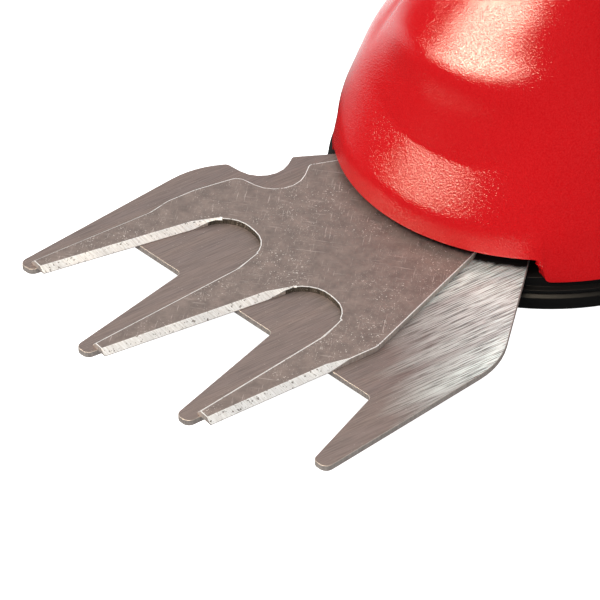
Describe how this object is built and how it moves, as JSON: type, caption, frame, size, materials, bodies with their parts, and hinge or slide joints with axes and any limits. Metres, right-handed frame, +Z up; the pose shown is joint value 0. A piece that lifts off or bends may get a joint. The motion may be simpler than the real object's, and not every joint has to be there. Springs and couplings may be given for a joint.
{
  "type": "cordless grass shears",
  "caption": "Hand-held cordless grass shears: fanned blades under a domed hood swing on a crank drive; loop handle with trigger, lock-off button and slide-on battery.",
  "frame": {"origin": "on the floor under the middle of the bounding box, with the shears standing on their base", "axes": "+X to the blade tips, +Y to the operator's left, +Z up"},
  "size_m": [0.34, 0.104, 0.1131],
  "materials": {
    "red_shell": "satin moulded ABS with a fine spark-eroded grain",
    "black_plastic": "matte moulded nylon",
    "soft_grip": "soft matte elastomer",
    "foot_rubber": "matte rubber",
    "blade_steel": "rolled and ground blade steel",
    "bright_steel": "zinc-plated steel",
    "bronze": "sintered bronze",
    "gear_plastic": "natural acetal",
    "magnet": "sintered ferrite",
    "board_green": "solder-masked laminate",
    "sink_metal": "extruded aluminium",
    "cell_wrap": "shrink-wrapped cell"
  },
  "bodies": {
    "body": {"front_hood": "red_shell", "left_shell": "red_shell", "right_shell": "red_shell", "grip_sleeve": "soft_grip", "base_plate": "black_plastic", "rear_foot": "foot_rubber", "lower_blade": "blade_steel", "pivot_bolt": "bright_steel", "pivot_bush": "bronze", "pivot_washer": "bright_steel", "pivot_nut": "bright_steel", "blade_screws": "bright_steel", "gear_plate": "black_plastic", "base_screws": "bright_steel", "crank_axle": "bright_steel", "crank_washer": "bright_steel", "idler_pin": "bright_steel", "motor_can": "bright_steel", "motor_magnets": "magnet", "motor_cap": "black_plastic", "motor_screws": "bright_steel", "trigger_pin": "bright_steel", "trigger_spring": "bright_steel", "switch_body": "black_plastic", "control_board": "board_green", "board_parts": "sink_metal", "battery_shoe": "black_plastic", "contact_blades": "bronze", "housing_screws": "bright_steel"},
    "upper_blade": {"upper_blade": "blade_steel"},
    "crank": {"crank_gear": "gear_plastic", "crank_bush": "bronze", "crank_roller": "bright_steel"},
    "idler": {"idler_gear": "gear_plastic"},
    "rotor": {"motor_rotor": "bright_steel", "motor_pinion": "bronze"},
    "trigger": {"trigger": "black_plastic"},
    "lock_button": {"lock_button": "black_plastic"},
    "battery": {"battery_case": "black_plastic", "battery_back": "black_plastic", "battery_cells": "cell_wrap"},
    "battery_button": {"battery_button": "red_shell"}
  },
  "joints": [
    {"name": "motor_spin", "type": "hinge", "parent": "body", "child": "rotor", "pos_m": [0.0186, 0, 0.0298], "axis": [0, 0, 1], "range_deg": [0, 2520]},
    {"name": "idler_spin", "type": "hinge", "parent": "body", "child": "idler", "pos_m": [0.02711, 0.01985, 0.0198], "axis": [0, 0, 1], "range_deg": [-720, 0]},
    {"name": "crank_turn", "type": "hinge", "parent": "body", "child": "crank", "pos_m": [0.0406, 0, 0.0148], "axis": [0, 0, 1], "range_deg": [0, 180]},
    {"name": "blade_swing", "type": "hinge", "parent": "body", "child": "upper_blade", "pos_m": [0.0686, 0, 0.0098], "axis": [0, 0, 1], "range_deg": [0, 16]},
    {"name": "trigger_press", "type": "hinge", "parent": "body", "child": "trigger", "pos_m": [-0.0114, 0, 0.0848], "axis": [0, 1, 0], "range_deg": [0, 10], "stiffness_Nm_per_rad": 0.3, "springref_deg": -17.19},
    {"name": "lock_push", "type": "slide", "parent": "body", "child": "lock_button", "axis": [0, -1, 0], "range_m": [0, 0.004], "stiffness_N_per_m": 600, "springref_m": -0.003},
    {"name": "battery_slide", "type": "slide", "parent": "body", "child": "battery", "axis": [0, 0, 1], "range_m": [0, 0.06]},
    {"name": "battery_release", "type": "slide", "parent": "battery", "child": "battery_button", "axis": [1, 0, 0], "range_m": [0, 0.003], "stiffness_N_per_m": 800, "springref_m": -0.002}
  ],
  "couplings": [
    {"joint": "idler_spin", "follows": "motor_spin", "ratio": -0.28571},
    {"joint": "crank_turn", "follows": "motor_spin", "ratio": 0.071429},
    {"joint": "blade_swing", "follows": "motor_spin", "ratio": 0.0063492}
  ]
}
